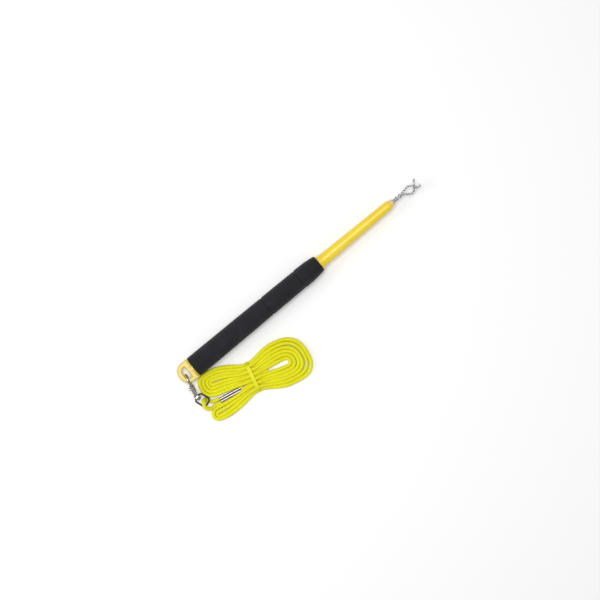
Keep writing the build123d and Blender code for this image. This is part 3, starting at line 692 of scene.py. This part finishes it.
shader.inputs["Sheen Roughness"].default_value = 0.6

# %% [markdown]
# ## Metals
# The snap is a nickel-plated casting, the link is blackened, the wire is galvanised, the ferrule is plain
# aluminium and the hidden anchor is brass. One function makes all five. They differ in colour, roughness
# and how far the surface is mottled.


# %% Metal finishes
def metal(name, dark, light, rough, patch=0.004, edge=0.25):
    """A metal between two colours whose roughness and height follow the same mottle. Where it turns away
    from the eye its colour is darkened and then lightened again: a painted reflection of the dark band that
    polished rounds show between a bright ceiling and a bright table."""
    material, tree, shader, coords = new_material(name)
    cast = use_group(tree, mottle, coords.outputs["Object"], Patch_size=patch, Grain_size=0.0005)
    marks = use_group(tree, scratches, coords.outputs["Object"], Spacing=0.0016, Amount=0.18)
    tint = ramp(tree, cast.outputs["Patches"], [(0.32, dark), (0.68, light)])
    # Painted reflection: the base colour is darkened where the surface turns away from the eye and lightened
    # again at the rim.
    facing = node(tree, "ShaderNodeLayerWeight", {"Blend": 0.5})
    band = ramp(tree, facing.outputs["Facing"], [(0.0, grey(1.0)), (0.30, grey(0.85)), (0.55, grey(edge)),
                                                 (0.80, grey(edge * 1.6)), (1.0, grey(0.7))])
    darkened(tree, shader, tint.outputs["Color"], band.outputs["Color"])
    tree.links.new(math_node(tree, "ADD", span(tree, cast.outputs["Grain"], *rough), marks.outputs["Mask"]),
                   shader.inputs["Roughness"])
    bump(tree, shader, cast.outputs["Grain"], 0.00004, 0.7)
    shader.inputs["Metallic"].default_value = 1.0
    return material


nickel_finish = metal("nickel_plate", (0.46, 0.42, 0.40, 1), (0.74, 0.69, 0.66, 1), (0.14, 0.26), edge=0.14)
dark_finish = metal("black_oxide", (0.035, 0.028, 0.026, 1), (0.10, 0.08, 0.075, 1), (0.28, 0.45))
wire_finish = metal("galvanised_wire", (0.46, 0.48, 0.50, 1), (0.74, 0.75, 0.78, 1), (0.26, 0.46), patch=0.0025)
aluminium_finish = metal("pressed_aluminium", (0.52, 0.48, 0.46, 1), (0.66, 0.61, 0.58, 1), (0.34, 0.46),
                         edge=0.5)
brass_finish = metal("crimped_brass", (0.50, 0.33, 0.10, 1), (0.72, 0.52, 0.20, 1), (0.24, 0.38))

# %% [markdown]
# The cord piece can now be put together: one cord at its real length and thickness, on the same body as
# the ferrule and the tie that go on it.

# %% Cord piece
cord = piece_from(cord_mesh, "tether", cord_finish, "yellow_cord", "cord_eye", "cord_crimped", "cord_standing",
                  "cord_hank")


# %% [markdown]
# ## Ferrule
# The ferrule is a short tube rolled from sheet and pressed round both legs of the cord. Its seam is a
# valley along its top, its ends flare a little, and three presses have left shallow waists.

# %% Ferrule mesh
SEAM_DEPTH = 0.0017
SEAM_WIDTH = math.radians(22)
FLARE = 0.00018
PRESSES = 4
PRESS_DEPTH = 0.00016
EDGE_BREAK = 0.0004         # how far the cut edges are rounded off
WALL = 0.0007
RETURN = 0.008              # how far the wall is made inside each end
RETURN_RINGS = 14


def ferrule_grid(around=96, along=90):
    """Radius by angle and distance: the plain radius, less a bell curve of the angle at the seam, less a
    cosine wave for the presses, plus a short flare at each end. The wall turns in at the ends and runs back
    inside."""
    share = np.linspace(0.0, 1.0, along)
    angle = np.arange(around) * 2 * math.pi / around
    seam = SEAM_DEPTH * np.exp(-(((angle - math.pi / 2) / SEAM_WIDTH) ** 2))
    presses = PRESS_DEPTH * (1 - np.cos(share * 2 * math.pi * PRESSES)) / 2
    flare = FLARE * (np.exp(-share * 30) + np.exp(-(1 - share) * 30))
    edge = EDGE_BREAK * (np.exp(-share * 130) + np.exp(-(1 - share) * 130))
    outer = (FERRULE_R - FLARE - presses + flare - edge)[:, None] - seam[None, :]
    into = np.linspace(0.0, RETURN, RETURN_RINGS)
    repeat = np.ones((RETURN_RINGS, 1))
    distance = np.concatenate([into[::-1], share * FERRULE_LENGTH, FERRULE_LENGTH - into])
    radius = np.vstack([(outer[[0]] - WALL) * repeat, outer, (outer[[-1]] - WALL) * repeat])
    centre = FERRULE_END + DRAWING_ORIGIN + distance[:, None] * ferrule_dir
    lift = np.array([0.0, 0.0, 1.0])
    ring = np.cos(angle)[None, :, None] * ferrule_side + np.sin(angle)[None, :, None] * lift
    points = centre[:, None, :] + radius[:, :, None] * ring
    return points, (distance / FERRULE_LENGTH, np.arange(around + 1) / around)


ferrule_points, ferrule_uv = ferrule_grid()
tree = aluminium_finish.node_tree
shader = principled(aluminium_finish)
plain = shader.inputs["Base Color"].links[0].from_socket
parts = node(tree, "ShaderNodeSeparateXYZ")
tree.links.new(node(tree, "ShaderNodeTexCoord").outputs["UV"], parts.inputs["Vector"])
from_seam = math_node(tree, "ABSOLUTE", math_node(tree, "SUBTRACT", parts.outputs["Y"], 0.25))
# Painted shade: the colour is darkened in a narrow band along the seam's valley on top.
painted_seam_shade = ramp(tree, from_seam, [(0.0, grey(0.10)), (0.030, grey(0.16)), (0.058, grey(1.0)), (1.0, grey(1.0))])
darkened(tree, shader, plain, painted_seam_shade.outputs["Color"])
ferrule = piece_from(grid_mesh("crimped_ferrule", ferrule_points, uv=ferrule_uv), "tether", aluminium_finish,
                     "aluminium_ferrule", "cord_ferrule")

# %% [markdown]
# ## Tie
# A thin soft band holds the hank at its waist. Its path is the outline of all the strands: in each
# direction the farthest strand's middle, plus the strand's radius. That is a taut band round a bundle of
# rounds.

# %% Tie mesh
TIE_WIDTH = 0.0060
TIE_THICKNESS = 0.0007
TIE_GAP = 0.0001


def tie_grid(around=160, across=13):
    """The outline in a direction is the centre with the largest dot product, plus the radius along it. The
    band's own section is a flat oval: half the width times the cosine, half the thickness times the
    sine."""
    centres = np.array([(waist_place(strand), layer(strand, WAIST_LOW, WAIST_HIGH))
                        for strand in range(1, STRANDS + 1)])
    angle = np.linspace(0.0, 2 * math.pi, around, endpoint=False)
    direction = np.stack([np.cos(angle), np.sin(angle)], axis=1)
    farthest = centres[np.argmax(direction @ centres.T, axis=1)]
    middle = CORD_R + TIE_GAP + TIE_THICKNESS / 2
    outline = farthest + direction * middle
    section = np.arange(across) * 2 * math.pi / across
    wide = TIE_WIDTH / 2 * np.sign(np.cos(section)) * np.abs(np.cos(section)) ** 0.5
    thick = TIE_THICKNESS / 2 * np.sign(np.sin(section)) * np.abs(np.sin(section)) ** 0.7
    spot = outline[:, None, :] + thick[None, :, None] * direction[:, None, :]
    plan = WAIST + wide[None, :, None] * along_dir + spot[:, :, :1] * across_dir
    return np.concatenate([plan, spot[:, :, 1:2]], axis=2) + DRAWING_ORIGIN


tie_finish = yellow_plastic("soft_yellow_band", (0.60, 0.58, 0.003, 1), (0.72, 0.69, 0.005, 1))
principled(tie_finish).inputs["Specular IOR Level"].default_value = 0.15
principled(tie_finish).inputs["Coat Weight"].default_value = 0.0
tie = piece_from(grid_mesh("hank_band", tie_grid(), length_closed=True), "tether", tie_finish, "yellow_tie",
                 "hank_tie")

# %% [markdown]
# ## Turned pieces
# The tube, the foam sleeves and the plug are round about the handle's axis, so each is a profile of
# distances and radii carried round a circle. Corners are rounded by walking the profile with short arcs,
# and the foam has a faint unevenness because it is soft and was pushed on by hand.


# %% Lathe
def rounded_profile(points, radii, steps=6):
    """A profile whose corners are replaced by curves: each is a quadratic bend from a point before the
    corner to one after it, at the given distance along both sides."""
    points = np.array(points, dtype=float)
    out = [points[:1]]
    share = np.linspace(0.0, 1.0, steps)[:, None]
    for before, corner, after, radius in zip(points, points[1:], points[2:], radii):
        reach_in = min(radius, np.linalg.norm(before - corner) * 0.49)
        reach_out = min(radius, np.linalg.norm(after - corner) * 0.49)
        first = corner + (before - corner) / np.linalg.norm(before - corner) * reach_in
        last = corner + (after - corner) / np.linalg.norm(after - corner) * reach_out
        out.append((1 - share) ** 2 * first + 2 * share * (1 - share) * corner + share ** 2 * last)
    out.append(points[-1:])
    return np.vstack(out)


def filled(profile, spacing):
    """The same profile with no gap longer than the spacing."""
    pieces = [profile[:1]]
    for first, last in zip(profile, profile[1:]):
        count = max(int(np.linalg.norm(last - first) / spacing), 1)
        pieces.append(first + (last - first) * (np.arange(1, count + 1) / count)[:, None])
    return np.vstack(pieces)


def lathe_grid(profile_mm, around=96, wobble=None):
    """Each profile point (distance, radius) becomes a ring about the handle's axis: the radius times the
    cosine and sine of the angle. A wobble adds a small radius of its own for each distance and angle."""
    angle = np.arange(around) * 2 * math.pi / around
    distance = profile_mm[:, 0][:, None] * np.ones(around)
    radius = profile_mm[:, 1][:, None] * np.ones(around)
    if wobble is not None:
        radius = radius + wobble(distance, angle[None, :])
    grid = np.stack([distance, -radius * np.sin(angle), AXIS_Z_MM + radius * np.cos(angle)], axis=2)
    return placed(grid)


# %% [markdown]
# The foam sleeves are closed rings: the profile goes along the outside and back along the bore.

# %% Foam sleeves
def node_span(name):
    """Where a node begins and ends along the handle, in the drawing's millimetres."""
    low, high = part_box(name)
    return (low[0] - DRAWING_ORIGIN[0]) / MM, (high[0] - DRAWING_ORIGIN[0]) / MM


def foam_wobble(seed):
    """Slow waves along and round the sleeve, a tenth of a millimetre high."""
    phases = np.random.default_rng(seed).uniform(0, 2 * math.pi, 6)

    def wobble(distance, angle):
        waves = np.sin(distance / 11.0 + phases[0] + np.sin(angle + phases[1])) * np.cos(2 * angle + phases[2])
        waves = waves + 0.6 * np.sin(distance / 5.0 + phases[3]) * np.cos(3 * angle + phases[4])
        return 0.05 * waves - 0.04

    return wobble


FOAM_BORE = 9.75
SLEEVES = {
    "grip_rear": [(0.0, 16.7), (0.6, 16.2), (1.0, 15.7)],
    "grip_middle": [(0.0, 15.9), (1.0, 15.4)],
    "grip_front": [(0.0, 15.9), (0.45, 15.5), (0.75, 14.5), (0.93, 13.6), (1.0, 12.6)],
}
for index, (name, shape) in enumerate(SLEEVES.items()):
    start, end = node_span(name)
    outside = [(start + share * (end - start), radius) for share, radius in shape]
    corners = [(start, FOAM_BORE), *outside, (end, FOAM_BORE)]
    soft = [2.6] + [6.0] * (len(outside) - 2) + [2.2]
    profile = filled(rounded_profile(corners, soft), 1.6)
    bore = filled(np.array([(end, FOAM_BORE), (start, FOAM_BORE)]), 6.0)[1:-1]
    grid = lathe_grid(np.vstack([profile, bore]), 96, foam_wobble(index + 3))
    mesh = grid_mesh("foam_" + name.split("_")[1], grid, length_closed=True)
    piece_from(mesh, "handle", foam_finish, "foam_grip", name)
    print(name, "faces", len(mesh.polygons))

# %% [markdown]
# The tube is one moulding: it steps down in front of the foam, tapers all the way and rounds over at the
# tip. The plug closes the tip round the wire with a small dome.

# %% Tube and tip plug
tube_profile = rounded_profile(
    [(TUBE_REAR_MM, 7.7), (TUBE_REAR_MM, 9.7), (125.6, 9.7), (126.0, 10.2), (134.0, 9.2), (190.0, 8.3),
     (257.0, 7.3), (262.4, 6.9), (264.0, 5.4), (264.0, 5.3), (250.0, 5.35), (126.0, 7.7), (TUBE_REAR_MM, 7.7)],
    [0.4, 0.1, 0.3, 6.0, 8.0, 3.0, 2.6, 0.5, 0.1, 2.0, 6.0])
tube_mesh = grid_mesh("tapered_tube", lathe_grid(filled(tube_profile, 4.0)[:-1], 96), length_closed=True)
piece_from(tube_mesh, "handle", tube_finish, "yellow_tube", "core_tube")

plug_finish = yellow_plastic("pale_tip_plug", (0.70, 0.47, 0.25, 1), (0.78, 0.58, 0.36, 1))
plug_profile = rounded_profile(
    [(250.0, 3.6), (250.0, 5.2), (263.9, 5.2), (264.1, 5.7), (266.4, 5.5), (270.0, 4.2), (270.0, 3.6),
     (250.0, 3.6)],
    [0.3, 0.1, 0.3, 1.2, 0.8, 0.2])
plug_mesh = grid_mesh("tip_plug_dome", lathe_grid(filled(plug_profile, 1.2)[:-1], 72), length_closed=True)
piece_from(plug_mesh, "handle", plug_finish, "yellow_tube", "tip_plug")

# %% [markdown]
# ## Wire eye
# Each strand of the leader is two wires laid together. Beyond the plug the strands twist round each
# other, part to make the eye, cross at its far end and splay into four cut ends. A strand's middle is a
# NURBS line, and its wires circle that line at a small radius that opens out over the last few
# millimetres.

# %% Wire paths
TWIST_START, TWIST_PITCH, TWIST_LENGTH, TWIST_R = 269.0, 14.0, 22.0, 1.9
WIRE_R = 0.82
WIRE_APART = 0.78
WIRE_LAY = 8.5
RING_SPACING_WIRE = 0.00035


def twisted_points(phase):
    """Straight inside the plug, then six corner points to each turn about the handle's axis."""
    step = TWIST_PITCH / 6
    index = np.arange(int(TWIST_LENGTH / step) + 1)
    angle = phase + np.radians(60 * index)
    twist = np.stack([TWIST_START + step * index, TWIST_R * np.cos(angle), TWIST_R * np.sin(angle)], axis=1)
    return [(241.5, TWIST_R * math.cos(phase), TWIST_R * math.sin(phase)),
            (260.0, TWIST_R * math.cos(phase), TWIST_R * math.sin(phase)), *twist]


STRANDS_OF_WIRE = {
    "a": twisted_points(math.pi) + [(294.6, 2.4, 0.9), (300.4, 4.0, 1.2), (306.2, 1.4, 1.75),
                                    (309.0, -4.6, 1.75), (312.6, -7.9, 0.9), (317.4, -5.4, 0.6)],
    "b": twisted_points(0.0) + [(293.8, -5.2, -0.9), (298.6, -8.5, -0.9), (304.6, -8.0, -1.2),
                                (308.2, -3.0, -1.75), (311.6, 1.6, -1.75), (315.6, 6.6, -1.0)],
}
SPLAY = {"a": (7.5, 1.9), "b": (8.5, 1.7)}          # over how many millimetres, and how far


def wire_grid(points, half_turn, splay, around=14):
    """One wire: the strand's middle plus a radius that turns with the distance walked. Near the cut end the
    turn stops and the radius grows with the square of the share of the splay."""
    line, walked = evenly(nurbs_line(placed(np.array(points) + (0, 0, AXIS_Z_MM)), "strand"), RING_SPACING_WIRE)
    tangents, sides, lifts = carried_frames(line)
    left = walked[-1] - walked
    opened = np.clip(1 - left / (splay[0] * MM), 0, 1)
    turn = 2 * math.pi * np.minimum(walked, walked[-1] - splay[0] * MM) / (WIRE_LAY * MM) + half_turn
    radius = (WIRE_APART + splay[1] * opened ** 2) * MM
    middle = line + radius[:, None] * (np.cos(turn)[:, None] * sides + np.sin(turn)[:, None] * lifts)
    tip = np.clip(left / (0.9 * MM), 0.0, 1.0)
    return tube_grid(middle, WIRE_R * MM * (0.45 + 0.55 * np.sqrt(tip)), around)


for label, points in STRANDS_OF_WIRE.items():
    for number, half_turn in enumerate((0.4, 0.4 + math.pi), start=1):
        mesh = grid_mesh(f"leader_wire_{label}{number}", wire_grid(points, half_turn, SPLAY[label]))
        replaced = ("leader_strand_" + label,) if number == 1 else ()
        piece_from(mesh, "handle", wire_finish, "galvanised_wire", *replaced)
print("wires made, the last with faces", len(mesh.polygons))

# %% [markdown]
# ## Gate spring
# A coil spring in the barrel pushes the bolt shut. It is one wire wound in a helix, with its end turns
# drawn closer together. Its back end bears on the hook's plug and its front end on the bolt.

# %% Spring mesh
SHANK_HEADING = math.radians(-103.0)
SHANK_DIP = math.radians(14.0)
SPRING_TURNS = 6
SPRING_WIRE_R = 0.00028
CLOSED_ENDS = 0.6           # how far the end turns are drawn together

shank = np.array([math.cos(SHANK_HEADING) * math.cos(SHANK_DIP), math.sin(SHANK_HEADING) * math.cos(SHANK_DIP),
                  -math.sin(SHANK_DIP)])
spring_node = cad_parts["gate_spring"].data
spring_spots = np.empty(len(spring_node.vertices) * 3)
spring_node.vertices.foreach_get("co", spring_spots)
spring_spots = spring_spots.reshape(-1, 3)
depth = spring_spots @ shank
flat = spring_spots - depth[:, None] * shank
spring_axis = (flat.min(axis=0) + flat.max(axis=0)) / 2
coil_r = np.linalg.norm(flat - spring_axis, axis=1).max() - SPRING_WIRE_R


def helix_line(first, last, per_turn=28):
    """A circle's point at an angle that grows evenly, moved along the shank by a share that starts and ends
    slowly: a straight share mixed with three times its square less twice its cube."""
    share = np.linspace(0.0, 1.0, SPRING_TURNS * per_turn + 1)
    eased = (1 - CLOSED_ENDS) * share + CLOSED_ENDS * share ** 2 * (3 - 2 * share)
    angle = 2 * math.pi * SPRING_TURNS * share
    beside = np.cross(shank, (0.0, 0.0, 1.0))
    beside = beside / np.linalg.norm(beside)
    above = np.cross(beside, shank)
    along = first + (last - first) * eased
    return (spring_axis + along[:, None] * shank
            + coil_r * (np.cos(angle)[:, None] * beside + np.sin(angle)[:, None] * above))


spring_front = depth.min() + SPRING_WIRE_R
spring_back = depth.max() - SPRING_WIRE_R
spring_mesh = grid_mesh("gate_coil_spring", tube_grid(helix_line(spring_front, spring_back), SPRING_WIRE_R, 10))
spring_mesh.materials.append(nickel_finish)
spring = bpy.data.objects.new(spring_mesh.name, spring_mesh)
bpy.context.scene.collection.objects.link(spring)
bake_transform(spring)
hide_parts("gate_spring")
print("spring length mm", round((spring_back - spring_front) / MM, 2), "coil radius mm", round(coil_r / MM, 2))

# %% [markdown]
# ## Finishes for the nodes that stay
# The cap, the snap and the small hidden pieces already have their true shape, so they only take a finish.

# %% Dress the CAD nodes
DRESS = {
    "butt_cap": cap_finish,
    "cap_pin": nickel_finish,
    "tip_pin": dark_finish,
    "float_core": foam_finish,
    "wire_anchor": brass_finish,
    "snap_body": nickel_finish,
    "gate_bolt": nickel_finish,
    "thumb_knob": nickel_finish,
    "bore_plug": nickel_finish,
    "swivel_eye": nickel_finish,
    "swivel_rivet": nickel_finish,
    "strap_link": dark_finish,
}
for name, material in DRESS.items():
    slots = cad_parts[name].data.materials
    slots.clear()
    slots.append(material)

# %% [markdown]
# ## Floor and light
# A pale floor under one wide ceiling light gives the plain look of a catalogue: rounds are bright on top
# and darker at their sides, and shadows stay close under the piece. A small light from the side draws the
# highlights, and the world fills the shadows.

# %% Floor and light
floor_mesh = bpy.data.meshes.new("floor")
floor_mesh.from_pydata([(-4, -4, 0), (4, -4, 0), (4, 4, 0), (-4, 4, 0)], [], [(0, 1, 2, 3)])
floor = bpy.data.objects.new("floor", floor_mesh)
bpy.context.scene.collection.objects.link(floor)
floor_finish, tree, shader, coords = new_material("pale_floor")
shader.inputs["Base Color"].default_value = (0.90, 0.90, 0.90, 1)
shader.inputs["Roughness"].default_value = 0.9
floor_mesh.materials.append(floor_finish)

LIGHTS = {
    "ceiling_light": ((-0.10, 0.25, 2.6), 1.3, 46.0),
    "side_light": ((-1.5, 0.9, 1.3), 0.8, 9.0),
}
for name, (place, size, power) in LIGHTS.items():
    light = bpy.data.lights.new(name, "AREA")
    light.size = size
    light.energy = power
    holder = bpy.data.objects.new(name, light)
    bpy.context.scene.collection.objects.link(holder)
    holder.location = place
    holder.rotation_euler = (-Vector(place)).to_track_quat("-Z", "Y").to_euler()

world = bpy.data.worlds.new("studio")
world.use_nodes = True
world.node_tree.nodes["Background"].inputs["Color"].default_value = (1.0, 1.0, 1.0, 1)
world.node_tree.nodes["Background"].inputs["Strength"].default_value = 0.42
bpy.context.scene.world = world
bpy.context.scene.view_settings.view_transform = "Standard"
